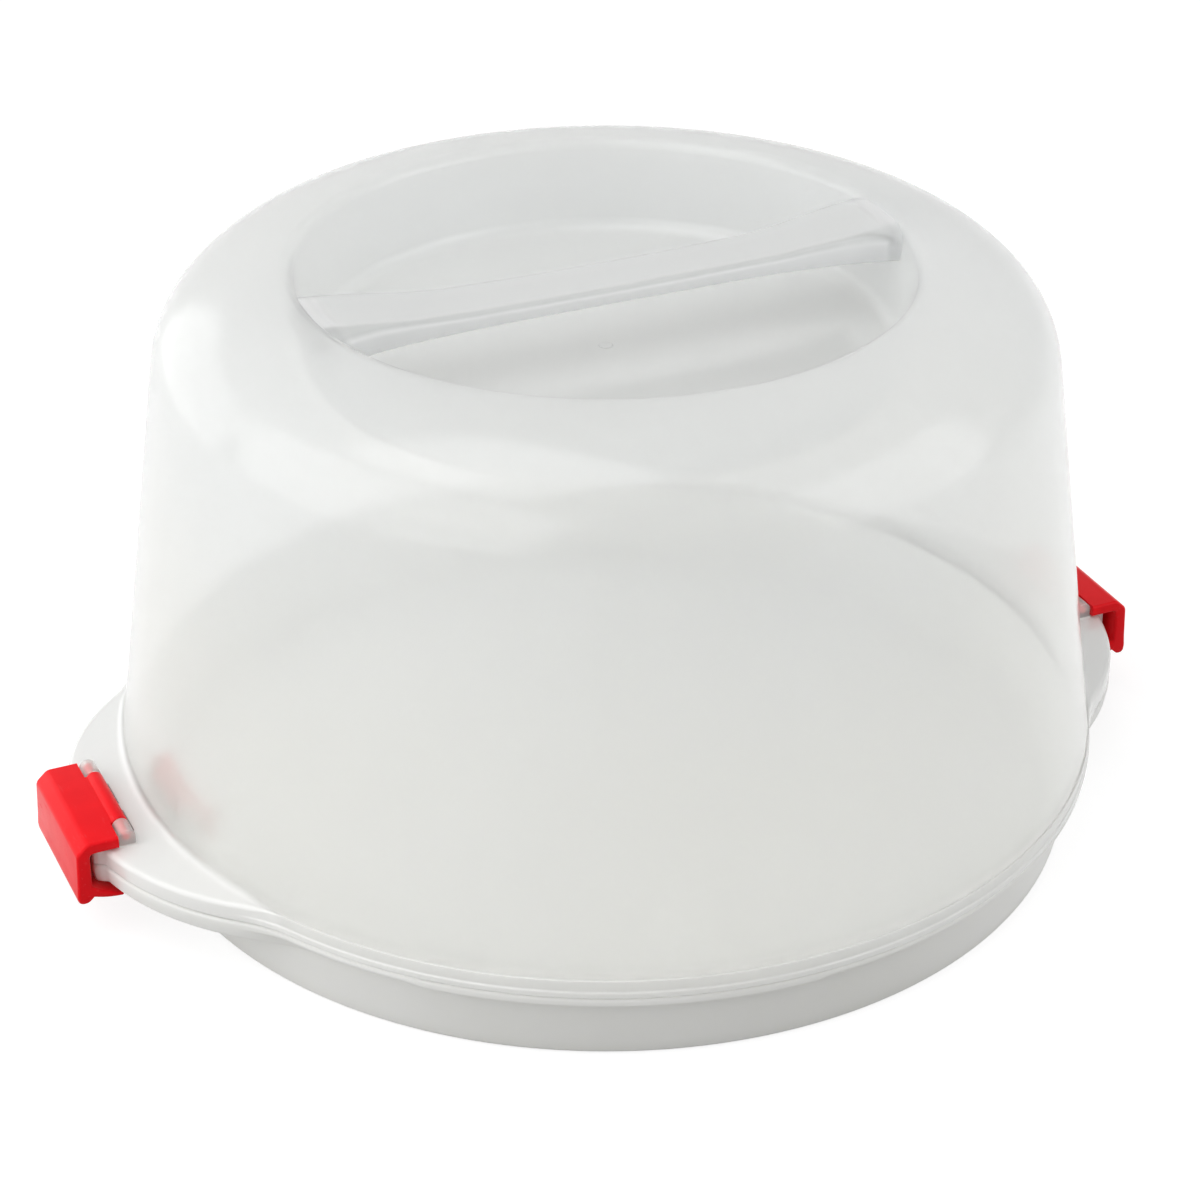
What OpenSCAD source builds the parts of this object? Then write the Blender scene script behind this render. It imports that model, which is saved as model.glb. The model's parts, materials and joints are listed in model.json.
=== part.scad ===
// Round cake carrier: a shallow tray with two ears, a lift-off translucent dome
// with a grip bar bridging a finger recess, and two clips hinged on the dome's ears.
// The origin is on the table under the middle of the tray. The ears lie along X.

/* [Dome] */
// Height of the whole carrier, from the table to the crown of the dome
carrier_h = 193.3; // [170:0.1:230]
// Outer radius of the dome wall at its foot
dome_foot_r = 162; // [140:1:185]
// How far the wall leans in between its foot and the shoulder
dome_lean = 17.7; // [8:0.1:26]
// Height of the shoulder between the wall and the crown
shoulder_h = 30.2; // [20:0.1:45]
// Radius of the crown ring, the highest line of the dome
crown_r = 102; // [80:1:115]
// Pull of the shoulder curve, as a share of its chord
shoulder_pull = 0.373; // [0.3:0.001:0.5]
// Wall of the dome
lid_wall = 2; // [1.4:0.1:3]

/* [Finger recess] */
// Depth of the recess floor below the crown
recess_depth = 30.8; // [24:0.1:40]
// Draft of the recess wall, in degrees
recess_draft = 8; // [3:0.5:15]
// Radius at which the crown rolls over into the recess
crown_roll = 4; // [3:0.5:6]
// Fillet between the recess wall and its floor
recess_fillet = 5; // [2:0.5:8]
// Radius of the moulding gate mark in the middle of the floor
gate_r = 2.2; // [1:0.1:4]
// Height of the gate mark
gate_h = 0.3; // [0.1:0.1:0.6]

/* [Grip bar] */
// Width of the grip bar at its ends
grip_w = 37.2; // [28:0.1:46]
// How much each side of the bar pulls in at the middle
grip_waist = 3.2; // [1:0.1:5]
// How much the top of the bar dips at the middle
grip_dip = 1.8; // [0.5:0.1:3]
// Depth of the bar's top below the crown, at its ends
grip_drop = 4.1; // [3:0.1:6]
// Height of the bar's turned-down sides
grip_h = 7; // [6:0.1:9]
// Wall of the bar
grip_wall = 2.4; // [1.8:0.1:3]
// Width of the tongue at each end of the bar
tongue_w = 24; // [14:0.5:30]
// Thickness of the tongue
tongue_t = 3; // [2:0.1:3.4]
// How far the tongue stands out behind the recess wall
tongue_out = 2.5; // [1.5:0.1:4]
// Clearance of the bar and its tongues in the recess wall
grip_gap = 0.15; // [0.1:0.01:0.3]

/* [Rim] */
// Height of the band below the dome wall
band_h = 6.1; // [5:0.1:9]
// How far the band stands out from the dome wall
band_step = 0.6; // [0.3:0.1:1.5]
// Height of the bead at the foot of the band
bead_h = 2.5; // [1.5:0.1:4]
// How far that bead stands out from the band
bead_out = 0.4; // [0.2:0.1:0.8]
// Gap between the tray's rim and the band that stands on it
joint_gap = 0.3; // [0.2:0.05:0.5]

/* [Tray] */
// Height of the tray's rim above the table
tray_h = 26; // [22:0.5:36]
// Wall of the tray
tray_wall = 2; // [1.5:0.1:3]
// Thickness of the tray's floor
floor_t = 2.2; // [1.6:0.1:3]
// How far the middle of the floor is raised off the table
floor_raise = 2; // [1:0.1:3]
// Width of the flat foot ring
foot_w = 6; // [4:0.5:12]
// Rounding between the foot ring and the wall
foot_round = 2; // [1:0.1:3]
// How much the tray wall flares out between foot and rim
tray_flare = 3.6; // [2:0.1:8]
// Overhang of the rim beyond the tray wall
rim_over = 4; // [3.2:0.1:5]
// Thickness of the rim
rim_t = 2.8; // [2:0.1:4]
// Height of the lip that centres the dome
lip_h = 3.5; // [2:0.1:4.5]
// Thickness of that lip
lip_t = 1.8; // [1.2:0.1:2.4]
// Clearance between the lip and the inside of the dome
lip_gap = 0.8; // [0.4:0.1:1.2]
// How much lower the rim hangs along its lift lip
lift_lip_drop = 0.8; // [0.4:0.1:2]
// Direction in which the lift lip starts, in degrees from the right ear
lift_lip_from = -135; // [-150:1:-125]
// Length of the lift lip along the rim, in degrees
lift_lip_span = 45; // [20:1:60]

/* [Ears] */
// How far the tip of an ear stands out from the rim
ear_reach = 21.8; // [18:0.1:30]
// Radius of the ear's outer edge
ear_r = 87.4; // [75:0.1:100]
// Fillet between an ear and the round rim
ear_fillet = 50; // [35:1:70]
// Wall of the dome's ears
ear_wall = 2.2; // [1.6:0.1:3]
// Height of the skirt under the tray's ears, rim included
skirt_h = 6.4; // [5:0.1:9]
// Wall of that skirt
skirt_wall = 2; // [1.5:0.1:3]

/* [Hinge] */
// Distance of the hinge axis from the tip of the ear
hinge_in = 10; // [8:0.1:12]
// Height of the hinge axis above the ear
hinge_rise = 3.2; // [3.1:0.1:5]
// Radius of the clip's barrel
barrel_r = 2.8; // [2.4:0.1:3]
// Length of the barrel between the two lugs
barrel_len = 29; // [20:0.5:34]
// Radius of the stub pins at the ends of the barrel
pin_r = 1.4; // [1:0.1:1.8]
// Running clearance of a pin in its lug, on the radius
pin_gap = 0.06; // [0.02:0.01:0.1]
// Radius of the lugs
lug_r = 2.8; // [2.6:0.1:2.9]
// Length of each lug along the hinge
lug_len = 7.8; // [5:0.1:9]
// Gap between the barrel and a lug
lug_gap = 0.3; // [0.2:0.05:0.6]
// Width of the two windows in the ear under the barrel
window_w = 9; // [5:0.5:11]
// Width of the bar left between those windows
window_bar = 4; // [2:0.5:8]

/* [Clips] */
// Length of a clip along the hinge
clip_len = 48; // [46:0.5:60]
// Thickness of the clip's outer wall
clip_wall = 4; // [2.5:0.1:5]
// Thickness of the clip's top plate
clip_plate = 3.6; // [3:0.1:4.5]
// Gap between the ear's tip and the clip's wall
clip_gap = 2.6; // [1.5:0.1:4]
// Gap between the ear and the clip's top plate
plate_gap = 1.2; // [0.9:0.1:1.5]
// Width of the bevel between plate and wall
bevel_w = 3.8; // [2:0.1:4.5]
// Height of that bevel
bevel_h = 3.5; // [2:0.1:5]
// Gap beside the barrel, between the plate's corners and a lug
corner_gap = 0.3; // [0.2:0.05:0.6]
// Clearance between the hook and the lowest corner of the tray's ear
hook_gap = 0.38; // [0.3:0.01:0.6]
// How far the hook reaches in under the ear
hook_reach = 10; // [6:0.1:11]
// Depth of the hook's underside below the tray's skirt
hook_drop = 4.3; // [3.8:0.1:6]
// Fillet inside the clip, between its plate and its wall
clip_fillet = 1.5; // [0.5:0.1:2]
// Radius of the hook's rounded underside
belly_r = 28; // [22:0.5:40]
// Radius of the finger bead along the foot of the clip
finger_r = 1.9; // [1.2:0.1:2.2]
// How far that bead stands out from the clip's wall
finger_out = 1.1; // [0.6:0.1:1.6]
// How much higher than the hook's underside the bead ends
finger_rise = 0.3; // [0:0.1:1]

/* [Hidden] */

// Steps round the big circles, the small ones, a short arc, the shoulder curve and an ear's edge
$fn = 180;
small_fn = 48;
arc_steps = 5;
curve_steps = 14;
ear_steps = 24;
// How far a cut runs past the face that it opens, and a joined shape into its neighbour
past = 1;
// Step that keeps two points of an outline apart where their sizes happen to agree
eps = 0.01;

// Heights, from the table up
skirt_z = tray_h - skirt_h;
rim_z = tray_h - rim_t;
band_z = tray_h + joint_gap;
ear_z = band_z + band_h;
crown_z = carrier_h;
wall_top_z = crown_z - shoulder_h;
recess_z = crown_z - recess_depth;
grip_z = crown_z - grip_drop;

// Radii, from the rim in
rim_r = dome_foot_r + band_step;
tray_top_r = rim_r - rim_over;
tray_foot_r = tray_top_r - tray_flare;
band_in_r = dome_foot_r - lid_wall;
lip_r = band_in_r - lip_gap;
dome_top_r = dome_foot_r - dome_lean;
ear_tip = rim_r + ear_reach;
ear_c = ear_tip - ear_r;

// An ear's plan: the fillet of a skirt that has to stay inside the rim's, the angle by which a
// fillet stops short of the round body, how deep it then dips into that body, and its root
skirt_fillet = ear_fillet - rim_over;
blend = 3;
blend_in = 0.5;
ear_root = 12;

// Hinge and clip
hinge_x = ear_tip - hinge_in;
hinge_z = ear_z + hinge_rise;
lug_y = barrel_len / 2 + lug_gap;
clip_in = ear_tip + clip_gap - hinge_x;
clip_out = clip_in + clip_wall;
plate_under = ear_z + plate_gap - hinge_z;
plate_top = plate_under + clip_plate;
plate_in = lug_r + corner_gap;
hook_r = norm([hinge_in, hinge_z - skirt_z]) + hook_gap;
hook_under = skirt_z - hook_drop - hinge_z;
hook_tip = clip_in - hook_reach;
finger_c = [clip_out + finger_out - finger_r, hook_under + finger_rise + finger_r];

function unit(v) = v / norm(v);
function left_of(v) = [-v[1], v[0]];
function reversed(p) = [for (i = [len(p) - 1:-1:0]) p[i]];
function but_first(p) = [for (i = [1:len(p) - 1]) p[i]];
function mirrored(p) = [for (q = reversed(p)) [q[0], -q[1]]];
function arc(c, r, from, to, n = arc_steps) =
    [for (i = [0:n]) let (a = from + (to - from) * i / n) c + r * [cos(a), sin(a)]];
// Cubic curve from a to d with the handles b and c
function curve(a, b, c, d, n) = [for (i = [0:n]) let (t = i / n, s = 1 - t)
    s * s * s * a + 3 * s * s * t * b + 3 * s * t * t * c + t * t * t * d];
// The path p moved to its left by t, with mitred corners
function moved_left(p, t) = [for (i = [0:len(p) - 1]) let (
    before = unit(p[max(i, 1)] - p[max(i, 1) - 1]),
    after = unit(p[min(i + 1, len(p) - 1)] - p[min(i + 1, len(p) - 1) - 1]),
    n0 = left_of(before),
    n1 = left_of(after)
) p[i] + t * (n0 + n1) / (1 + n0 * n1)];

// Outer line of the dome from its foot over the crown to the middle of the recess floor
function dome_line() =
    let (
        foot = [dome_foot_r, ear_z],
        top = [dome_top_r, wall_top_z],
        crown = [crown_r, crown_z],
        pull = shoulder_pull * norm(crown - top),
        roll_c = [crown_r, crown_z - crown_roll],
        roll_end = roll_c + crown_roll * [-cos(recess_draft), sin(recess_draft)],
        drop = roll_end[1] - recess_z - recess_fillet * (1 - sin(recess_draft)),
        floor_x = roll_end[0] - drop * tan(recess_draft) - recess_fillet * cos(recess_draft)
    )
    concat(
        [foot],
        curve(top, top + pull * unit(top - foot), crown + [pull, 0], crown, curve_steps),
        but_first(arc(roll_c, crown_roll, 90, 180 - recess_draft)),
        arc([floor_x, recess_z + recess_fillet], recess_fillet, -recess_draft, -90),
        [[0, recess_z]]
    );

// Centre of the fillet f between the ear and a round body of radius body_r
function fillet_c(body_r, f) =
    let (x = (pow(body_r + f, 2) - pow(ear_r + f, 2) + ear_c * ear_c) / (2 * ear_c))
    [x, sqrt(pow(body_r + f, 2) - x * x)];

// Plan of the right ear, edge set in by inset, that reaches into a round body of radius body_r
function ear_plan(body_r, f, inset) =
    let (
        c = fillet_c(body_r, f),
        at_ear = atan2(c[1], c[0] - ear_c),
        at_body = atan2(c[1], c[0]) + blend,
        inward = [cos(at_body), sin(at_body)],
        flank = concat(
            but_first(arc(c, f + inset, at_ear + 180, at_body + 180)),
            [(body_r - inset - blend_in) * inward, (body_r - ear_root) * inward])
    )
    concat(arc([ear_c, 0], ear_r - inset, -at_ear, at_ear, ear_steps), flank, mirrored(flank));

module ear(body_r, f, inset, z0, z1) {
    translate([0, 0, z0])
        linear_extrude(z1 - z0) polygon(ear_plan(body_r, f, inset));
}

module both_sides() {
    children();
    mirror([1, 0, 0]) children();
}

// Radius of the middle of the tray's wall at height z
function tray_r(z) = tray_foot_r - tray_wall / 2 + tray_flare * (z - foot_round) / (rim_z - foot_round);

module tray_ear() {
    from = skirt_z - past;
    to = tray_h + past;
    difference() {
        union() {
            ear(rim_r, ear_fillet, 0, rim_z, tray_h);
            difference() {
                ear(tray_top_r, skirt_fillet, 0, skirt_z, rim_z + rim_t / 2);
                ear(tray_top_r, skirt_fillet, skirt_wall, from, rim_z);
            }
        }
        translate([0, 0, from]) cylinder(h = to - from, r1 = tray_r(from), r2 = tray_r(to));
    }
}

module base_tray() {
    foot_in = tray_foot_r - foot_round - foot_w;
    foot_top = foot_in + floor_t / 2;
    color("whitesmoke")
    union() {
        rotate_extrude()
            polygon(concat(
                [[0, floor_raise], [foot_in - floor_raise, floor_raise], [foot_in, 0]],
                arc([tray_foot_r - foot_round, foot_round], foot_round, -90, 0),
                [[tray_top_r, rim_z], [rim_r, rim_z], [rim_r, tray_h], [lip_r, tray_h],
                 [lip_r, tray_h + lip_h], [lip_r - lip_t, tray_h + lip_h], [lip_r - lip_t, tray_h],
                 [tray_top_r - tray_wall, tray_h - eps], [tray_foot_r - tray_wall, floor_t],
                 [foot_top, floor_t], [foot_top - floor_raise, floor_raise + floor_t],
                 [0, floor_raise + floor_t]]
            ));
        both_sides() tray_ear();
        rotate([0, 0, lift_lip_from])
            rotate_extrude(angle = lift_lip_span)
                translate([tray_top_r - tray_wall / 2, rim_z - lift_lip_drop])
                    square([rim_over + tray_wall / 2, lift_lip_drop + rim_t / 2]);
    }
}

// Lug on the right ear's far side, with the foot that stands it on the ear
module lug() {
    translate([hinge_x, lug_y, hinge_z]) {
        rotate([-90, 0, 0]) cylinder(h = lug_len, r = lug_r, $fn = small_fn);
        translate([-lug_r, 0, -hinge_rise - ear_wall / 2])
            cube([2 * lug_r, lug_len, hinge_rise + ear_wall / 2]);
    }
}

module lid_ear() {
    difference() {
        ear(rim_r, ear_fillet, 0, band_z, ear_z);
        ear(rim_r, ear_fillet, ear_wall, band_z - past, ear_z - ear_wall);
        translate([0, 0, band_z - past]) cylinder(h = band_h + 2 * past, r = dome_foot_r - lid_wall / 2);
    }
    lug();
    mirror([0, 1, 0]) lug();
}

// Two windows under the barrel and the bore through both lugs
module ear_cuts() {
    for (y = [window_bar / 2, -lug_y])
        translate([hinge_x - window_w / 2, y, ear_z - ear_wall - past])
            cube([window_w, lug_y - window_bar / 2, ear_wall + 2 * past]);
    translate([hinge_x, -lug_y - lug_len - past, hinge_z])
        rotate([-90, 0, 0])
            cylinder(h = 2 * (lug_y + lug_len + past), r = pin_r + pin_gap, $fn = small_fn);
}

module dome_lid() {
    line = dome_line();
    color([0.9, 0.92, 0.9, 0.6])
    difference() {
        union() {
            rotate_extrude() polygon(concat(line, reversed(moved_left(line, lid_wall))));
            rotate_extrude()
                translate([band_in_r, band_z]) square([lid_wall + band_step, band_h]);
            rotate_extrude()
                translate([band_in_r, band_z]) square([lid_wall + band_step + bead_out, bead_h]);
            both_sides() lid_ear();
            translate([0, 0, recess_z - lid_wall / 2])
                cylinder(h = lid_wall / 2 + gate_h, r = gate_r, $fn = small_fn);
        }
        both_sides() ear_cuts();
        both_sides() tongue_slot();
    }
}

// Radius of the recess wall at height z
function recess_r(z) = crown_r - crown_roll * cos(recess_draft)
    - (crown_z - crown_roll + crown_roll * sin(recess_draft) - z) * tan(recess_draft);

// Foot of the tongues, and how far out they reach
tongue_z = grip_z - grip_h / 2 - tongue_t / 2;
tongue_end = recess_r(grip_z - grip_h / 2) + lid_wall / cos(recess_draft) + tongue_out;

// Slot in the recess wall for the right tongue
module tongue_slot() {
    from = recess_r(grip_z - grip_h) - grip_gap - past;
    translate([from, -tongue_w / 2 - grip_gap, tongue_z - grip_gap])
        cube([tongue_end + past - from, tongue_w + 2 * grip_gap, tongue_t + 2 * grip_gap]);
}

// One long side of the bar, from -half to half: edge is its height at the ends, middle in between
function bow(half, edge, middle, n = 8) =
    [for (i = [-n:n]) [half * i / n, edge - (edge - middle) * (1 - pow(i / n, 2))]];

// Bar with its sides and top set in by inset, cut level at its underside
module bar(half, inset, low) {
    edge = bow(half, grip_w / 2 - inset, grip_w / 2 - grip_waist - inset);
    top = bow(half, grip_z - inset, grip_z - grip_dip - inset);
    intersection() {
        translate([0, 0, low])
            linear_extrude(grip_z - low + past) polygon(concat(edge, mirrored(edge)));
        translate([0, grip_w, 0])
            rotate([90, 0, 0])
                linear_extrude(2 * grip_w) polygon(concat([[half, low], [-half, low]], top));
    }
}

module carry_handle() {
    low = grip_z - grip_h;
    hollow_r = recess_r(low) - grip_gap - grip_wall;
    color([0.93, 0.94, 0.92, 0.8])
    union() {
        difference() {
            // The bar's ends follow the recess wall
            intersection() {
                bar(recess_r(grip_z), 0, low);
                translate([0, 0, low - past])
                    cylinder(h = grip_h + 2 * past, r1 = recess_r(low - past) - grip_gap,
                        r2 = recess_r(grip_z + past) - grip_gap);
            }
            bar(sqrt(pow(hollow_r, 2) - pow(grip_w / 2, 2)), grip_wall, low - past);
        }
        both_sides() tongue();
    }
}

// Tongue at the right end, from inside the bar's end wall out through the recess wall
module tongue() {
    from = recess_r(grip_z - grip_h) - grip_gap - grip_wall / 2;
    translate([from, -tongue_w / 2, tongue_z]) cube([tongue_end - from, tongue_w, tongue_t]);
}

// Section of a clip in the plane across the hinge: x out from the axis, y up
function clip_section() =
    let (
        from = acos(hook_tip / hook_r),
        to = acos(clip_in / hook_r),
        foot_x = finger_c[0] - finger_r
    )
    concat(
        [[plate_in, plate_top], [clip_out - bevel_w, plate_top], [clip_out, plate_top - bevel_h],
         [clip_out, finger_c[1]], finger_c],
        arc([hook_tip, hook_under + belly_r], belly_r, asin((foot_x - hook_tip) / belly_r) - 90, -90),
        arc([0, 0], hook_r, -from, -to),
        arc([clip_in - clip_fillet, plate_under - clip_fillet], clip_fillet, 0, 90),
        [[plate_in, plate_under]]
    );

module clip() {
    translate([hinge_x, 0, hinge_z])
        rotate([90, 0, 0]) {
            translate([0, 0, -clip_len / 2]) linear_extrude(clip_len) polygon(clip_section());
            translate([finger_c[0], finger_c[1], -clip_len / 2])
                cylinder(h = clip_len, r = finger_r, $fn = small_fn);
            translate([0, plate_under, -barrel_len / 2])
                cube([plate_in + past, clip_plate, barrel_len]);
            translate([0, 0, -barrel_len / 2])
                cylinder(h = barrel_len, r = barrel_r, $fn = small_fn);
            translate([0, 0, -lug_y - lug_len])
                cylinder(h = 2 * (lug_y + lug_len), r = pin_r, $fn = small_fn);
        }
}

module left_clip() {
    color("crimson") mirror([1, 0, 0]) clip();
}

module right_clip() {
    color("crimson") clip();
}

base_tray();
dome_lid();
carry_handle();
left_clip();
right_clip();
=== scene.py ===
"""Looks of a round cake carrier: frosted dome with a grip bar, off-white tray and two red clips.

Lengths are in millimetres until a mesh is made. The CAD frame gives the driving sizes.
"""

import json
import logging
from collections.abc import Sequence
from dataclasses import dataclass, field
from enum import Enum

import bmesh
import bpy
import numpy as np
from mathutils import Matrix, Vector


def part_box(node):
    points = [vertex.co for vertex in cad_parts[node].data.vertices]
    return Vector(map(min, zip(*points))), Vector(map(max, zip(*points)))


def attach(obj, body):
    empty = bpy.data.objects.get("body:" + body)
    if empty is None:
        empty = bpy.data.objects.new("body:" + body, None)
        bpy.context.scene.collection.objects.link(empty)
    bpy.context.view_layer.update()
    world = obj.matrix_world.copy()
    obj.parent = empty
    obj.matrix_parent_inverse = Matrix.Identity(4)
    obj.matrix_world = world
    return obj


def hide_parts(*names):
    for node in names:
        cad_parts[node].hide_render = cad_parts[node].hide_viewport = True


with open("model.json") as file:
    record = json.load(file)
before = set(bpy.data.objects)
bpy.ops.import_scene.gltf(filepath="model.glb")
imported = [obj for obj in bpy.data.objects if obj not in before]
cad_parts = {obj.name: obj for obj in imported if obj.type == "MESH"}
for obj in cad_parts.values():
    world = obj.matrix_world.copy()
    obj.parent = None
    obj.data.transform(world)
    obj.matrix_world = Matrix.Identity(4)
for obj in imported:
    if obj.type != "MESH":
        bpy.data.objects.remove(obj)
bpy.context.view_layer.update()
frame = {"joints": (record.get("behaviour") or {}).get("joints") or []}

MM = 0.001
TINY = 1e-9
WELD = 2e-6
NOISE_SPAN = (0.3, 0.7)
HOLLOW_SPAN = (0.2, 2.5)
CIRCLE_STEPS = 35
log = logging.getLogger("cake_carrier")


class Side(Enum):
    """The two ends of the carrier, by the sign of their X."""

    LEFT = -1
    RIGHT = 1


def smooth(low: float, high: float, x: np.ndarray) -> np.ndarray:
    """Eased step from 0 at low to 1 at high: three times the square less twice the cube.

    Args:
        low: where the step starts.
        high: where it ends.
        x: the values to ease.

    Returns:
        The eased values, from 0 to 1.
    """
    t = np.clip((x - low) / (high - low), 0, 1)
    return t * t * (3 - 2 * t)


def line_of(*points: Sequence) -> np.ndarray:
    """Stacks points whose two coordinates are numbers or arrays over the angles.

    Args:
        *points: pairs of radius and height.

    Returns:
        An array with an axis for the angles, one for the points and one for the pair.
    """
    flat = np.broadcast_arrays(*[np.asarray(c, float) for p in points for c in p])
    return np.stack(flat, axis=-1).reshape(flat[0].shape + (len(points), 2))


def rounded(points: np.ndarray, radii: Sequence, steps: int = 5, closed: bool = False) -> np.ndarray:
    """Rounds the corners of lines.

    Each corner is replaced by a circular arc, drawn as a rational quadratic curve: its ends lie on
    the two sides at the radius over the tangent of half the corner's angle, and its middle weight
    is the sine of that half. A radius that its sides have no room for is taken smaller.

    Args:
        points: the corners, with the line along the last axis but one.
        radii: a radius for each corner.
        steps: segments in each arc.
        closed: whether the last point joins the first.

    Returns:
        The rounded lines, in the same layout.
    """
    radius = np.stack(np.broadcast_arrays(*[np.asarray(r, float) for r in radii]), axis=-1)
    to_last = np.roll(points, 1, axis=-2) - points
    to_next = np.roll(points, -1, axis=-2) - points
    last, following = np.linalg.norm(to_last, axis=-1), np.linalg.norm(to_next, axis=-1)
    to_last = to_last / np.maximum(last, TINY)[..., None]
    to_next = to_next / np.maximum(following, TINY)[..., None]
    half = np.arccos(np.clip((to_last * to_next).sum(-1), -1, 1)) / 2
    reach = np.minimum(radius / np.maximum(np.tan(half), TINY), 0.49 * np.minimum(last, following))
    t = np.linspace(0, 1, steps + 1)[:, None]
    start = (points + to_last * reach[..., None])[..., None, :]
    end = (points + to_next * reach[..., None])[..., None, :]
    pull = 2 * t * (1 - t) * np.sin(half)[..., None, None]
    arcs = (1 - t) ** 2 * start + pull * points[..., None, :] + t**2 * end
    arcs = arcs / ((1 - t) ** 2 + pull + t**2)
    if closed:
        return arcs.reshape(arcs.shape[:-3] + (-1, 2))
    inner = arcs[..., 1:-1, :, :]
    inner = inner.reshape(inner.shape[:-3] + (-1, 2))
    return np.concatenate([points[..., :1, :], inner, points[..., -1:, :]], axis=-2)


def offset_left(line: np.ndarray, by: float) -> np.ndarray:
    """Moves an open line to its left.

    Each point moves along the sum of its two sides' left normals, over one plus their dot product,
    which is the mitre.

    Args:
        line: the points, in one plane.
        by: how far it moves.

    Returns:
        The moved line.
    """
    along = np.diff(line, axis=0)
    along = along / np.linalg.norm(along, axis=1)[:, None]
    normal = np.stack([-along[:, 1], along[:, 0]], axis=1)
    before, after = np.vstack([normal[:1], normal]), np.vstack([normal, normal[-1:]])
    return line + by * (before + after) / (1 + (before * after).sum(1))[:, None]


def bezier(a: Sequence, b: Sequence, c: Sequence, d: Sequence, steps: int) -> np.ndarray:
    """Cubic curve: the four points weighted by the terms of (s + t) cubed, with s one less t."""
    t = np.linspace(0, 1, steps + 1)[:, None]
    s = 1 - t
    ends = s**3 * np.array(a) + t**3 * np.array(d)
    return ends + 3 * s**2 * t * np.array(b) + 3 * s * t**2 * np.array(c)


def arc(centre: Sequence, radius: float, start: float, end: float, steps: int) -> np.ndarray:
    """Points of an arc, from start to end in degrees."""
    a = np.radians(np.linspace(start, end, steps + 1))
    return np.array(centre) + radius * np.stack([np.cos(a), np.sin(a)], axis=1)


def end_rounding(radius: float, half: float, steps: int = 5) -> tuple[np.ndarray, np.ndarray]:
    """Insets and places of the rings that give a drawn body's two ends a round edge.

    Over a quarter turn, the inset is the radius times one less the sine, while the place moves in
    from the end by the radius times one less the cosine.

    Args:
        radius: radius of the round edges.
        half: half the body's length.
        steps: segments in each quarter turn.

    Returns:
        The insets, and the places from one end to the other.
    """
    turn = np.linspace(0, np.pi / 2, steps + 1)
    inset = radius * (1 - np.sin(turn))
    place = half - radius * (1 - np.cos(turn))
    return np.concatenate([inset, inset[::-1]]), np.concatenate([-place, place[::-1]])


def body_from(name: str, points: np.ndarray, faces: list) -> bpy.types.Object:
    """Makes a closed body: welds its doubles and turns its faces outwards.

    Args:
        name: the object's name.
        points: its vertices, in millimetres.
        faces: its faces, as lists of vertex numbers.

    Returns:
        The new object, at the origin.
    """
    mesh = bpy.data.meshes.new(name)
    mesh.from_pydata((points * MM).tolist(), [], faces)
    work = bmesh.new()
    work.from_mesh(mesh)
    bmesh.ops.remove_doubles(work, verts=work.verts, dist=WELD)
    bmesh.ops.dissolve_degenerate(work, edges=work.edges, dist=WELD / 2)
    bmesh.ops.recalc_face_normals(work, faces=work.faces)
    loose = sum(1 for e in work.edges if len(e.link_faces) != 2)
    if loose:
        log.warning("%s has %d edges without two faces", name, loose)
    work.to_mesh(mesh)
    work.free()
    made = bpy.data.objects.new(name, mesh)
    bpy.context.scene.collection.objects.link(made)
    return made


def grid_faces(rows: int, columns: int, wrap_rows: bool, wrap_columns: bool) -> list:
    """Quads of a grid of points that are numbered row by row.

    Args:
        rows: how many rows there are.
        columns: points in each row.
        wrap_rows: whether the last row joins the first.
        wrap_columns: whether the last column joins the first.

    Returns:
        The quads, as lists of vertex numbers.
    """
    i, j = np.meshgrid(
        np.arange(rows if wrap_rows else rows - 1),
        np.arange(columns if wrap_columns else columns - 1),
        indexing="ij",
    )
    down, right = (i + 1) % rows, (j + 1) % columns
    quads = [i * columns + j, i * columns + right, down * columns + right, down * columns + j]
    return np.stack(quads, axis=-1).reshape(-1, 4).tolist()


def revolved(name: str, angles: np.ndarray, lines: np.ndarray) -> bpy.types.Object:
    """Body whose section at each angle is a line of radius and height from pole to pole."""
    points = np.stack(
        [
            lines[..., 0] * np.cos(angles)[:, None],
            lines[..., 0] * np.sin(angles)[:, None],
            lines[..., 1],
        ],
        axis=-1,
    )
    rows, columns = points.shape[:2]
    return body_from(name, points.reshape(-1, 3), grid_faces(rows, columns, True, False))


def lofted(name: str, rings: np.ndarray) -> bpy.types.Object:
    """Body through closed rings of points, closed at both ends by a flat face."""
    rows, columns = rings.shape[:2]
    faces = grid_faces(rows, columns, False, True)
    faces.append(list(range(columns)))
    faces.append(list(range((rows - 1) * columns, rows * columns)))
    return body_from(name, rings.reshape(-1, 3), faces)


def combined(base: bpy.types.Object, others: Sequence[bpy.types.Object], operation: str) -> None:
    """Joins bodies to a body or cuts them from it, and writes the result into its mesh.

    Args:
        base: the body that changes.
        others: the bodies that are used up.
        operation: UNION or DIFFERENCE.
    """
    for other in others:
        modifier = base.modifiers.new(operation, "BOOLEAN")
        modifier.object, modifier.operation, modifier.solver = other, operation, "MANIFOLD"
    bpy.context.view_layer.update()
    graph = bpy.context.evaluated_depsgraph_get()
    mesh = bpy.data.meshes.new_from_object(base.evaluated_get(graph))
    base.modifiers.clear()
    base.data = mesh
    for other in others:
        bpy.data.objects.remove(other)


def finished(piece: bpy.types.Object, material: bpy.types.Material, crease: float = 35) -> bpy.types.Object:
    """Shades a piece smooth, with edges over crease degrees left sharp, and gives it its material."""
    mesh = piece.data
    mesh.polygons.foreach_set("use_smooth", np.ones(len(mesh.polygons), bool))
    mesh.set_sharp_from_angle(angle=np.radians(crease))
    mesh.materials.clear()
    mesh.materials.append(material)
    log.info("%s: %d faces", piece.name, len(mesh.polygons))
    return piece


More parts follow.
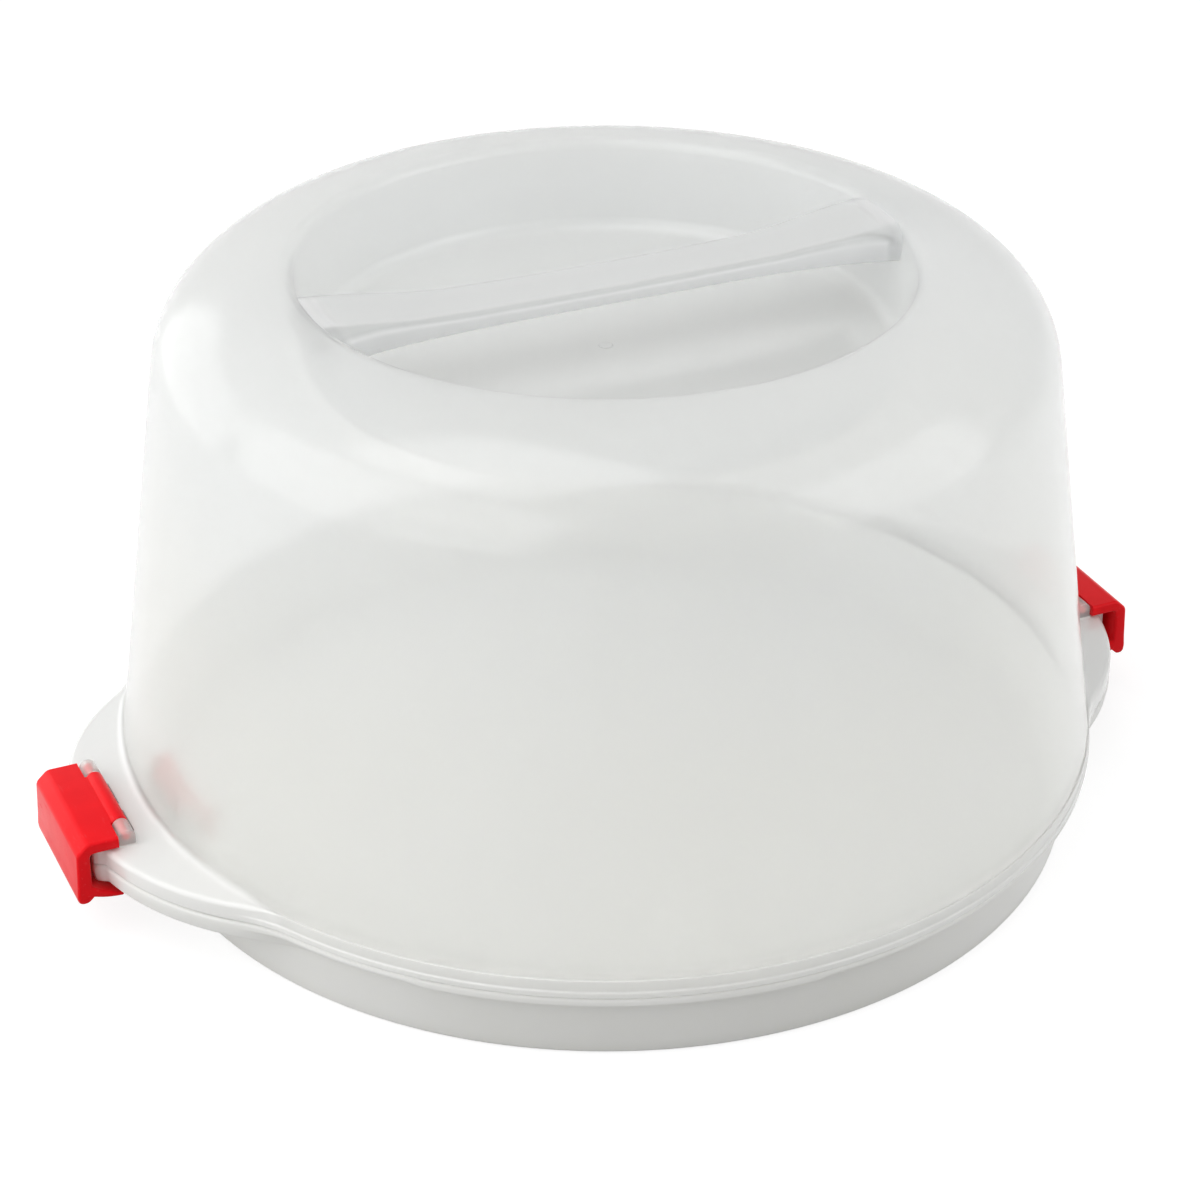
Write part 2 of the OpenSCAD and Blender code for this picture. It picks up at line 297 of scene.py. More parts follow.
class Value:
    """A shader socket in sums: each operator adds its Math node."""

    def __init__(self, shader: "Shader", socket: bpy.types.NodeSocket) -> None:
        """Keeps the socket and the shader that it belongs to."""
        self.shader = shader
        self.socket = socket

    def _with(self, operation: str, other: object, flipped: bool = False) -> "Value":
        """Adds a Math node on this value and another, the other way round if flipped."""
        pair = (other, self) if flipped else (self, other)
        return self.shader.value("ShaderNodeMath", {"operation": operation}, {0: pair[0], 1: pair[1]})

    def __add__(self, other: object) -> "Value":
        """This value plus another."""
        return self._with("ADD", other)

    def __radd__(self, other: object) -> "Value":
        """Another plus this value."""
        return self._with("ADD", other, True)

    def __sub__(self, other: object) -> "Value":
        """This value less another."""
        return self._with("SUBTRACT", other)

    def __rsub__(self, other: object) -> "Value":
        """Another less this value."""
        return self._with("SUBTRACT", other, True)

    def __mul__(self, other: object) -> "Value":
        """This value times another."""
        return self._with("MULTIPLY", other)

    def __rmul__(self, other: object) -> "Value":
        """Another times this value."""
        return self._with("MULTIPLY", other, True)

    def __pow__(self, other: object) -> "Value":
        """This value to a power."""
        return self._with("POWER", other)

    def __gt__(self, other: object) -> "Value":
        """1 where this value is greater, else 0."""
        return self._with("GREATER_THAN", other)

    def ease(self, low: float, high: float) -> "Value":
        """Eased step from 0 at low to 1 at high; low may be the greater."""
        settings = {"interpolation_type": "SMOOTHSTEP", "clamp": True}
        inputs = {"Value": self, "From Min": low, "From Max": high, "To Min": 0.0, "To Max": 1.0}
        return self.shader.value("ShaderNodeMapRange", settings, inputs)


class Shader:
    """A node tree with one method that adds any node."""

    def __init__(self, name: str, tree: bpy.types.NodeTree | None = None) -> None:
        """Starts an empty material, or takes over a tree that is given."""
        self.material = None
        if tree is None:
            self.material = bpy.data.materials.new(name)
            self.material.use_nodes = True
            tree = self.material.node_tree
        self.tree = tree
        self.tree.nodes.clear()

    def node(self, kind: str, settings: dict | None = None, inputs: dict | None = None) -> bpy.types.Node:
        """Adds a node.

        Args:
            kind: the node's type.
            settings: its properties, set first.
            inputs: what each socket gets, by name or number: a value or a link.

        Returns:
            The node.
        """
        node = self.tree.nodes.new(kind)
        for key, setting in (settings or {}).items():
            setattr(node, key, setting)
        for key, given in (inputs or {}).items():
            source = given.socket if isinstance(given, Value) else given
            if isinstance(source, bpy.types.NodeSocket):
                self.tree.links.new(source, node.inputs[key])
            elif isinstance(source, tuple) and len(source) == 3 and node.inputs[key].type == "RGBA":
                node.inputs[key].default_value = (*source, 1.0)
            else:
                node.inputs[key].default_value = source
        return node

    def value(
        self, kind: str, settings: dict | None = None, inputs: dict | None = None, out: object = 0
    ) -> Value:
        """Adds a node and gives one of its outputs as a value."""
        return Value(self, self.node(kind, settings, inputs).outputs[out])

    def place(self, scale: tuple = (1.0, 1.0, 1.0)) -> bpy.types.NodeSocket:
        """The point on the piece in its own coordinates, scaled."""
        at = self.node("ShaderNodeTexCoord").outputs["Object"]
        return self.node("ShaderNodeMapping", {}, {"Vector": at, "Scale": scale}).outputs[0]

    def noise(self, scale: float, detail: float = 3.0, stretch: tuple = (1.0, 1.0, 1.0)) -> Value:
        """Soft noise with about scale cells a metre, from about 0.3 to 0.7."""
        inputs = {"Vector": self.place(stretch), "Scale": scale, "Detail": detail, "Roughness": 0.55}
        return self.value("ShaderNodeTexNoise", {}, inputs)

    def colour_mix(self, share: object, first: object, second: object) -> bpy.types.NodeSocket:
        """Colour between two colours."""
        settings = {"data_type": "RGBA", "clamp_factor": True}
        return self.node("ShaderNodeMix", settings, {0: share, 6: first, 7: second}).outputs[2]

    def bump(self, height: Value, strength: float, depth: float) -> bpy.types.NodeSocket:
        """Normal bumped by a height from 0 to 1, depth in metres."""
        inputs = {"Strength": strength, "Distance": depth, "Height": height}
        return self.node("ShaderNodeBump", {}, inputs).outputs[0]

    def mixed(self, share: object, first: bpy.types.Node, second: bpy.types.Node) -> bpy.types.Node:
        """Mix of two shaders."""
        return self.node("ShaderNodeMixShader", {}, {0: share, 1: first.outputs[0], 2: second.outputs[0]})

    def done(self, surface: bpy.types.Node) -> bpy.types.Material:
        """Joins the surface to the output and gives the material."""
        self.node("ShaderNodeOutputMaterial", {}, {"Surface": surface.outputs[0]})
        return self.material


@dataclass(frozen=True)
class FrostedPlastic:
    """Natural polypropylene: milky, partly see-through, with a soft gloss.

    A share of the light goes through with little blur. The rest, the haze, is scattered back or
    onwards. The cup is the finger recess with the bar in it. Radii and heights are in metres, and
    a pair gives where a zone starts and where it is full.
    """

    name: str = "frosted_plastic"
    tint: tuple = (0.985, 0.984, 0.965)
    # Cooler tint that grows towards the top: a painted tint of the bluish highlight on the shoulder.
    cool_tint: tuple = (0.968, 0.978, 0.985)
    # Greyer, bluer tint in the finger recess: painted shade of the recess.
    recess_shade_tint: tuple = (0.925, 0.935, 0.940)
    glow_tint: tuple = (0.982, 0.983, 0.972)
    haze: float = 0.42
    ear_haze: float = 0.92
    cup_haze: float = 0.40
    lug_haze: float = 0.34
    side_haze: float = 0.42
    # Share of upright faces that keep the plain tint in the recess, lighter than the tops: a painted glow
    # of lit edges.
    side_painted_glow: float = 0.0
    pad_r: float = 0.1000
    pad_fade: float = 0.004
    onwards: float = 0.56
    ear_onwards: float = 0.12
    blur: float = 0.05
    bend: float = 1.12
    index: float = 1.49
    roughness: float = 0.15
    ear_r: tuple = (0.1612, 0.1634)
    ear_z: tuple = (0.0375, 0.0335)
    lug_r: tuple = (0.1660, 0.1670)
    lug_z: tuple = (0.0326, 0.0334)
    cup_z: tuple = (0.1540, 0.1570)
    cool_z: tuple = (0.0815, 0.1630)
    steep: tuple = (0.75, 0.35)
    cloud_scale: float = 6.0
    flow_scale: float = 90.0
    bump: tuple = (0.10, 0.0003)

    def material(self) -> bpy.types.Material:
        """Builds the material.

        The share that is scattered grows from the lugs over the recess and the wall to the ears,
        told apart by their distance from the axis and their height, in metres.
        """
        s = Shader(self.name)
        parts = s.node("ShaderNodeSeparateXYZ", {}, {0: s.place()})
        x, y, z = [Value(s, parts.outputs[axis]) for axis in "XYZ"]
        out = (x * x + y * y) ** 0.5
        lug = out.ease(*self.lug_r) * z.ease(*self.lug_z)
        ear = out.ease(*self.ear_r) * z.ease(*self.ear_z) * (1 - lug)
        cup = out.ease(self.pad_r, self.pad_r - self.pad_fade) * z.ease(*self.cup_z)
        haze = self.haze + ear * (self.ear_haze - self.haze)
        haze = haze + cup * (self.cup_haze - self.haze) + lug * (self.lug_haze - self.haze)
        facing = s.node("ShaderNodeNewGeometry").outputs["Normal"]
        upright = s.value("ShaderNodeSeparateXYZ", {}, {0: facing}, "Z").ease(*self.steep)
        haze = haze + cup * upright * (self.side_haze - self.cup_haze)
        cloud = s.noise(self.cloud_scale, 1.0).ease(*NOISE_SPAN)
        flow = s.noise(self.flow_scale, 2.0, (1.0, 1.0, 0.25))
        # Partly random tone (cloud), partly painted: the tint turns cooler towards the top, standing in for
        # the bluish highlight on the shoulder.
        tint = s.colour_mix(0.3 * cloud + 0.7 * z.ease(*self.cool_z), self.tint, self.cool_tint)
        # Painted shade: in the recess the tint turns greyer and bluer, except on the bar's upright sides,
        # which keep the plain, lighter tint as a painted glow of their lit edges.
        tint = s.colour_mix(cup * (1 - self.side_painted_glow * upright), tint, self.recess_shade_tint)
        normal = s.bump(flow, *self.bump)
        coat = {"Coat Weight": 1.0, "Coat Roughness": self.roughness, "Coat IOR": self.index}
        clear = s.node("ShaderNodeBsdfPrincipled", {}, {
            "Base Color": tint,
            "Roughness": self.blur + 0.03 * flow,
            "IOR": self.bend,
            "Transmission Weight": 1.0,
            "Normal": normal,
            **coat,
        })
        milky = s.node("ShaderNodeBsdfPrincipled", {}, {
            "Base Color": tint,
            "Roughness": 0.30 + 0.10 * flow,
            "IOR": self.index,
            "Normal": normal,
            **coat,
        })
        through = s.node("ShaderNodeBsdfTranslucent", {}, {"Color": self.glow_tint, "Normal": normal})
        onwards = self.onwards + ear * (self.ear_onwards - self.onwards)
        return s.done(s.mixed(haze, clear, s.mixed(onwards, milky, through)))


@dataclass(frozen=True)
class TrayPlastic:
    """Off-white satin polypropylene of the tray."""

    colour: tuple = (0.89, 0.89, 0.87)
    # The shade tone serves both the random mottling and a painted contact shadow at the foot.
    shade: tuple = (0.84, 0.84, 0.81)
    roughness: float = 0.30
    index: float = 1.49
    foot_z: float = 0.006
    bump: tuple = (0.10, 0.0002)

    def material(self) -> bpy.types.Material:
        """Builds the material."""
        s = Shader("tray_plastic")
        cloud = s.noise(14.0, 3.0).ease(*NOISE_SPAN)
        grain = s.noise(1600.0, 2.0)
        scuff = s.noise(300.0, 4.0, (1.0, 1.0, 0.2)).ease(0.60, 0.74)
        # Painted shadow: within foot_z of the floor the colour turns to the shade tone, standing in for the
        # contact shadow; the cloud share is random tone of the plastic.
        low = s.value("ShaderNodeSeparateXYZ", {}, {0: s.place()}, "Z").ease(self.foot_z, 0.0)
        colour = s.colour_mix(0.5 * cloud + 0.5 * low, self.colour, self.shade)
        rough = self.roughness + 0.05 * cloud + 0.12 * scuff + 0.15 * low
        return s.done(s.node("ShaderNodeBsdfPrincipled", {}, {
            "Base Color": colour,
            "Roughness": rough,
            "IOR": self.index,
            "Subsurface Weight": 0.15,
            "Subsurface Radius": (1.0, 1.0, 0.9),
            "Subsurface Scale": 0.003,
            "Normal": s.bump(grain + 0.5 * scuff, *self.bump),
        }))


@dataclass(frozen=True)
class ClipPlastic:
    """Red moulded plastic of the clips."""

    colour: tuple = (0.90, 0.006, 0.012)
    dark: tuple = (0.66, 0.004, 0.010)
    pale: tuple = (0.90, 0.10, 0.11)
    roughness: float = 0.30
    gloss: float = 0.12
    index: float = 1.49
    bump: tuple = (0.10, 0.0002)

    def material(self) -> bpy.types.Material:
        """Builds the material."""
        s = Shader("clip_plastic")
        cloud = s.noise(60.0, 3.0).ease(*NOISE_SPAN)
        grain = s.noise(2200.0, 2.0)
        scuff = s.noise(700.0, 4.0, (1.0, 0.2, 1.0)).ease(0.60, 0.72)
        colour = s.colour_mix(0.25 * cloud, self.colour, self.dark)
        colour = s.colour_mix(0.20 * scuff, colour, self.pale)
        return s.done(s.node("ShaderNodeBsdfPrincipled", {}, {
            "Base Color": colour,
            "Roughness": self.roughness + 0.06 * cloud + 0.15 * scuff,
            "IOR": self.index,
            "Specular IOR Level": self.gloss,
            "Normal": s.bump(grain + 0.4 * scuff, *self.bump),
        }))


@dataclass
class Sizes:
    """Sizes that the pieces share, read from the frame, in millimetres."""

    rim_r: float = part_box("base_tray")[1].y / MM
    ear_tip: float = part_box("base_tray")[1].x / MM
    lip_top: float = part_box("base_tray")[1].z / MM
    crown_z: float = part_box("dome_lid")[1].z / MM
    band_z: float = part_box("dome_lid")[0].z / MM
    bar_top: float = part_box("carry_handle")[1].z / MM
    bar_low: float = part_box("carry_handle")[0].z / MM
    hinge_x: float = frame["joints"][2]["pos_m"][0] / MM
    hinge_z: float = frame["joints"][2]["pos_m"][2] / MM
    rim_gap: float = 0.3
    band_h: float = 6.1
    band_step: float = 0.6
    ear_r: float = 87.4
    ear_fillet: float = 50.0
    rim_over: float = 4.0
    catch_out: float = 0.8
    catch_half: float = 18.3
    catch_round: float = 3.2
    turns: int = 400
    ear_turns: int = 60
    ear_span: float = 9.0

    @property
    def tray_h(self) -> float:
        """Height of the tray's rim."""
        return self.band_z - self.rim_gap

    @property
    def ear_z(self) -> float:
        """Height of the lid's ears."""
        return self.band_z + self.band_h

    @property
    def angles(self) -> np.ndarray:
        """Directions round the carrier in which sections are made, closer together at the ears."""
        near = np.radians(np.linspace(-self.ear_span, self.ear_span, self.ear_turns))
        even = np.linspace(0, 2 * np.pi, self.turns, endpoint=False)
        every = np.concatenate([even, near % (2 * np.pi), near + np.pi])
        return np.unique(every.round(4))

    def reach(self, body_r: float, fillet: float) -> np.ndarray:
        """Distance from the axis to an outline made of a round body, two ears and their fillets.

        With the direction folded into the first quarter, the ray meets the ear's circle on its far
        side up to the fillet's first tangent point, then the fillet's circle on its near side, then
        the round body. Under the clip the ear's edge eases into a straight catch for the hook.

        Args:
            body_r: radius of the round body.
            fillet: radius of the fillets between it and the ears.

        Returns:
            The distance in each direction of angles.
        """
        a = np.arccos(np.abs(np.cos(self.angles)))
        ear_c = self.ear_tip - self.ear_r
        x = ((body_r + fillet) ** 2 - (self.ear_r + fillet) ** 2 + ear_c**2) / (2 * ear_c)
        y = np.sqrt((body_r + fillet) ** 2 - x**2)
        turn = np.arctan2(y, x - ear_c)
        first = np.arctan2(self.ear_r * np.sin(turn), ear_c + self.ear_r * np.cos(turn))
        second = np.arctan2(y, x)
        on_ear = ear_c * np.cos(a) + np.sqrt(np.maximum(self.ear_r**2 - (ear_c * np.sin(a)) ** 2, 0))
        across = x * np.sin(a) - y * np.cos(a)
        on_fillet = x * np.cos(a) + y * np.sin(a) - np.sqrt(np.maximum(fillet**2 - across**2, 0))
        plain = np.where(a < first, on_ear, np.where(a < second, on_fillet, body_r))
        catch = (self.ear_tip + self.catch_out) / np.maximum(np.cos(a), TINY)
        share = smooth(self.catch_half + self.catch_round, self.catch_half, np.abs(plain * np.sin(a)))
        return plain + (catch - plain) * np.where(a < first, share, 0)


@dataclass
class BaseTray:
    """Tray with its raised floor, foot ring, locating lip, rim bead and the hollow skirts of its ears."""

    sizes: Sizes
    finish: TrayPlastic = TrayPlastic()
    wall: float = 2.0
    flare: float = 3.6
    floor_t: float = 2.2
    floor_raise: float = 2.0
    foot_w: float = 6.0
    foot_round: float = 2.0
    rim_t: float = 2.8
    lip_t: float = 1.8
    lip_in: float = 3.4
    skirt_h: float = 6.4
    skirt_wall: float = 2.0
    bead_round: float = 1.3
    ear_round: float = 3.1
    lift_drop: float = 0.8
    lift_from: float = -135.0
    lift_span: float = 45.0
    lift_fade: float = 0.35
    ear_blend: float = 8.0

    def section(self) -> np.ndarray:
        """Line of the tray's section at each angle, from the floor's middle round to its underside."""
        z = self.sizes
        top_r = z.rim_r - z.rim_over
        foot_r = top_r - self.flare
        rim_z = z.tray_h - self.rim_t
        skirt_z = z.tray_h - self.skirt_h
        below_z = skirt_z - self.skirt_wall / 2
        edge = z.reach(z.rim_r, z.ear_fillet)
        skirt = z.reach(top_r, z.ear_fillet - z.rim_over)

        def wall_r(height: float) -> float:
            return foot_r + self.flare * (height - self.foot_round) / (rim_z - self.foot_round)

        turn = np.degrees(z.angles)
        along = np.abs((turn - self.lift_from - self.lift_span / 2 + 180) % 360 - 180)
        half = self.lift_span / 2
        lift = self.lift_drop * smooth(half + self.lift_fade, half - self.lift_fade, along)
        bead_z = rim_z - lift * (edge < z.rim_r + 0.01)
        ear = smooth(z.rim_r, z.rim_r + self.ear_blend, edge)
        low_r = wall_r(skirt_z) + skirt - top_r
        inner_r = np.maximum(low_r - self.skirt_wall, wall_r(skirt_z))
        room = smooth(*HOLLOW_SPAN, inner_r - wall_r(skirt_z))
        ceiling = skirt_z + (rim_z - skirt_z) * room
        lip_r = z.rim_r - self.lip_in
        foot_in = foot_r - self.foot_round - self.foot_w
        foot_top = foot_in + self.floor_t / 2
        raised = self.floor_raise + self.floor_t
        corners = line_of(
            (0, raised), (foot_top - self.floor_raise, raised), (foot_top, self.floor_t),
            (foot_r - self.wall, self.floor_t), (top_r - self.wall, z.tray_h),
            (lip_r - self.lip_t, z.tray_h), (lip_r - self.lip_t, z.lip_top), (lip_r, z.lip_top),
            (lip_r, z.tray_h), (edge, z.tray_h), (edge, bead_z), (skirt, bead_z),
            (low_r, skirt_z), (inner_r, skirt_z), (np.maximum(inner_r, wall_r(ceiling)), ceiling),
            (wall_r(ceiling), ceiling), (wall_r(skirt_z), skirt_z),
            (wall_r(below_z), below_z), (foot_r, 0), (foot_in, 0),
            (foot_in - self.floor_raise, self.floor_raise), (0, self.floor_raise),
        )
        radii = [
            0, 1.5, 1.5, 3.0, 0.3, 0.3, 0.7, 0.7, 0.5,
            self.bead_round + (self.ear_round - self.bead_round) * ear, self.bead_round * (1 - ear),
            0.5, self.ear_round * ear, 0.5, 0.6, 0.6, 0.3 * room, 0.1, self.foot_round, 0.8, 0.8, 0,
        ]
        return rounded(corners, radii, 6)

    def build(self) -> bpy.types.Object:
        """Makes the tray and dresses it."""
        made = revolved("tray", self.sizes.angles, self.section())
        finished(made, self.finish.material())
        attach(made, "tray")
        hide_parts("base_tray")
        return made


@dataclass
class DomeLid:
    """Frosted dome with its shoulder, finger recess, rim band, ears and clear lugs."""

    sizes: Sizes
    finish: FrostedPlastic = FrostedPlastic()
    wall: float = 2.0
    lean: float = 17.7
    shoulder_h: float = 30.2
    crown_r: float = 102.0
    pull: float = 0.373
    recess_depth: float = 30.8
    draft: float = 8.0
    roll: float = 4.0
    fillet: float = 5.0
    gate_r: float = 2.2
    gate_h: float = 0.3
    ear_wall: float = 2.2
    ear_round: float = 3.8
    bead_h: float = 2.5
    bead_out: float = 0.4
    lug_r: float = 2.8
    lug_y: float = 14.8
    lug_len: float = 7.8
    lug_round: float = 0.5
    lug_flare: float = 0.9
    lug_flare_h: float = 1.6
    ear_blend: float = 6.0
    bore_r: float = 1.46
    bore_len: float = 7.2
    window_w: float = 9.0
    window_bar: float = 4.0
    window_deep: float = 4.0
    slot_w: float = 24.3
    slot_t: float = 3.3
    slot_in: float = 8.0

    @property
    def foot_r(self) -> float:
        """Outer radius of the dome's wall at its foot."""
        return self.sizes.rim_r - self.sizes.band_step

    @property
    def roll_z(self) -> float:
        """Height of the middle of the rolled edge of the recess."""
        return self.sizes.crown_z - self.roll

    def recess_r(self, z: np.ndarray) -> np.ndarray:
        """Radius of the recess wall at a height, its rolled edge included."""
        slope = np.radians(self.draft)
        roll_end = self.roll_z + self.roll * np.sin(slope)
        cone = self.crown_r - self.roll * np.cos(slope) - (roll_end - z) * np.tan(slope)
        over = np.sqrt(np.maximum(self.roll**2 - np.maximum(z - self.roll_z, 0) ** 2, 0))
        return np.where(z < roll_end, cone, self.crown_r - over)

    def outline(self) -> np.ndarray:
        """Outer line from the middle of the recess floor over the crown to the foot."""
        z = self.sizes
        slope = np.radians(self.draft)
        foot = np.array([self.foot_r, z.ear_z])
        top = np.array([self.foot_r - self.lean, z.crown_z - self.shoulder_h])
        crown = np.array([self.crown_r, z.crown_z])
        pull = self.pull * np.linalg.norm(crown - top)
        up = (top - foot) / np.linalg.norm(top - foot)
        floor_z = z.crown_z - self.recess_depth
        end = np.array([self.crown_r, self.roll_z]) + self.roll * np.array([-np.cos(slope), np.sin(slope)])
        drop = end[1] - floor_z - self.fillet * (1 - np.sin(slope))
        floor_x = end[0] - drop * np.tan(slope) - self.fillet * np.cos(slope)
        floor = np.array([[0, floor_z], [self.gate_r + 1, floor_z], [0.6 * floor_x, floor_z]])
        turn = arc((floor_x, floor_z + self.fillet), self.fillet, -90, -self.draft, 7)
        edge = arc((self.crown_r, self.roll_z), self.roll, 180 - self.draft, 90, 9)
        shoulder = bezier(crown, crown + [pull, 0], top + pull * up, top, 24)[1:]
        wall = top + (foot - top) * np.linspace(0, 1, 4)[1:, None]
        return np.concatenate([floor, turn, edge, shoulder, wall])

    def section(self) -> np.ndarray:
        """Line of the dome's section at each angle, from the recess floor's top to its underside."""
        z = self.sizes
        outer = self.outline()
        inner = offset_left(outer[::-1], self.wall)[1:]
        inner[-1, 0] = 0
        edge = z.reach(z.rim_r, z.ear_fillet)
        ear = smooth(z.rim_r, z.rim_r + self.ear_blend, edge)
        ring_out, ring_in = self.foot_r, self.foot_r - self.wall
        bead_r = edge + self.bead_out * (1 - ear)
        bead_z = z.band_z + self.bead_h
        hollow_r = np.maximum(edge - self.ear_wall, ring_out)
        room = smooth(*HOLLOW_SPAN, hollow_r - ring_out)
        ceiling = z.band_z + (z.band_h - self.ear_wall) * room
        corners = line_of(
            tuple(outer[-2]), (self.foot_r, z.ear_z), (edge, z.ear_z), (edge, bead_z),
            (bead_r, bead_z - 0.5), (bead_r, z.band_z), (hollow_r, z.band_z), (hollow_r, ceiling),
            (ring_out, ceiling), (ring_out, z.band_z), (ring_in, z.band_z), tuple(inner[0]),
        )
        radii = [
            0, 0.5 + 3.0 * ear, 0.5 + (self.ear_round - 0.5) * ear, 0.8, 0.8, 0.6,
            0.4, 0.6, 0.6, 0.3 * room, 0.5, 0,
        ]
        foot = rounded(corners, radii, 5)
        count = len(foot)
        above = np.broadcast_to(outer[:-2], (count, len(outer) - 2, 2))
        below = np.broadcast_to(inner[1:], (count, len(inner) - 1, 2))
        return np.concatenate([above, foot, below], axis=1)

    def lug(self, side: Side, front: int) -> bpy.types.Object:
        """One lug: a round head on a foot that flares into the ear, drawn along the hinge.

        Args:
            side: the ear that it stands on.
            front: -1 for the front lug, 1 for the back one.

        Returns:
            The lug as a body of its own, without its bore.
        """
        z = self.sizes
        low = z.ear_z - self.ear_wall / 2 - z.hinge_z
        head = arc((0, 0), self.lug_r, 0, 180, 24)
        wide = self.lug_r + self.lug_flare
        half_foot = np.array([[-self.lug_r, low + self.lug_flare_h], [-wide, low + self.lug_flare],
                              [-wide, low]])
        ring = np.concatenate([head, half_foot, half_foot[::-1] * (-1, 1)])
        insets, places = end_rounding(self.lug_round, self.lug_len / 2, 4)
        share = 1 - insets / self.lug_r
        across = side.value * z.hinge_x + ring[None, :, 0] * share[:, None]
        height = z.hinge_z + low + (ring[None, :, 1] - low) * (1 - insets / (self.lug_r - low))[:, None]
        along = self.lug_y + self.lug_len / 2 + places
        depth = np.broadcast_to(front * along[:, None], across.shape)
        return lofted("lug", np.stack([across, depth, height], axis=-1))

    def block(self, side: Side, x: tuple, y: tuple, z: tuple) -> bpy.types.Object:
        """Block on one side, between two distances from the middle, two depths and two heights."""
        near, far = sorted((side.value * x[0], side.value * x[1]))
        ring = np.array([[near, y[0]], [far, y[0]], [far, y[1]], [near, y[1]]])
        rings = np.stack([np.column_stack([ring, np.full(4, height)]) for height in z])
        return lofted("block", rings)

    def tongue_block(self, side: Side, x: tuple, width: float, thick: float) -> bpy.types.Object:
        """Block at the height of the bar's tongues, centred across."""
        middle = (self.sizes.bar_top + self.sizes.bar_low) / 2
        return self.block(side, x, (-width / 2, width / 2), (middle - thick / 2, middle + thick / 2))

    def bore(self, side: Side) -> bpy.types.Object:
        """Cutting rod for both lugs of an ear."""
        z = self.sizes
        ring = arc((side.value * z.hinge_x, z.hinge_z), self.bore_r, 0, 350, CIRCLE_STEPS)
        half = self.lug_y + self.bore_len
        ends = [np.column_stack([ring[:, 0], np.full(len(ring), y), ring[:, 1]]) for y in (-half, half)]
        return lofted("bore", np.stack(ends))

    def cuts(self, side: Side) -> list[bpy.types.Object]:
        """Windows of an ear, the bore of its lugs and the slot for the bar's tongue on its side."""
        z = self.sizes
        made = [self.bore(side)]
        x = (z.hinge_x - self.window_w / 2, z.hinge_x + self.window_w / 2)
        for y in ((self.window_bar / 2, self.lug_y), (-self.lug_y, -self.window_bar / 2)):
            made.append(self.block(side, x, y, (z.ear_z - self.window_deep, z.ear_z + 1)))
        x = (self.crown_r - self.slot_in, self.crown_r + 2)
        made.append(self.tongue_block(side, x, self.slot_w, self.slot_t))
        return made

    def build(self) -> bpy.types.Object:
        """Makes the dome with its lugs, windows and slots, and dresses it."""
        z = self.sizes
        made = revolved("dome", z.angles, self.section())
        floor_z = z.crown_z - self.recess_depth
        gate = rounded(line_of((0, floor_z + self.gate_h), (self.gate_r, floor_z + self.gate_h),
                               (self.gate_r + 0.4, floor_z - 0.5), (0, floor_z - 0.5)), [0, 0.3, 0.1, 0], 4)
        turn = np.linspace(0, 2 * np.pi, 48, endpoint=False)
        boss = revolved("gate", turn, np.broadcast_to(gate, (len(turn),) + gate.shape))
        lugs = [self.lug(side, front) for side in Side for front in (-1, 1)]
        combined(made, [*lugs, boss], "UNION")
        combined(made, [cut for side in Side for cut in self.cuts(side)], "DIFFERENCE")
        finished(made, self.finish.material())
        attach(made, "lid")
        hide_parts("dome_lid")
        return made


